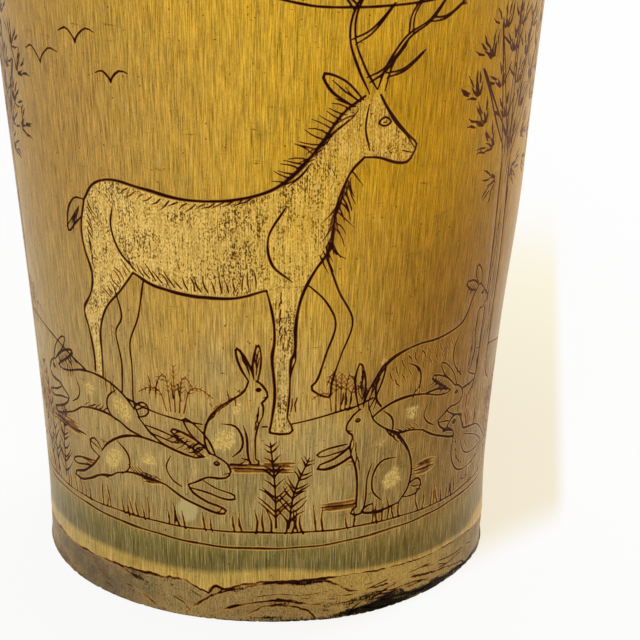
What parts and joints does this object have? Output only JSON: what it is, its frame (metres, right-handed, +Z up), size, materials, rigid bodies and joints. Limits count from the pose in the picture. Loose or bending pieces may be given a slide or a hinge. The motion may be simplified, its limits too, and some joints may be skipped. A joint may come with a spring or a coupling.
{
  "type": "drinking cup",
  "caption": "Tapering horn drinking beaker with an engraved outside, a sprung-in base disc and a pitch-sealed inside corner.",
  "frame": {"origin": "centre of the foot on the surface that the cup stands on", "axes": "+Z up along the cup's own axis, from the foot to the mouth; +X to the right and -Y towards the viewer of the picture"},
  "size_m": [0.0834, 0.0834, 0.118],
  "materials": {
    "horn": "hand-polished translucent horn, satin, with engraved lines darkened with stain",
    "disc_horn": "scraped horn, dull",
    "pitch": "poured pitch, dull and a little rough"
  },
  "bodies": {
    "root": {"horn_wall": "horn", "base_disc": "disc_horn", "pitch_seal": "pitch"}
  },
  "joints": []
}
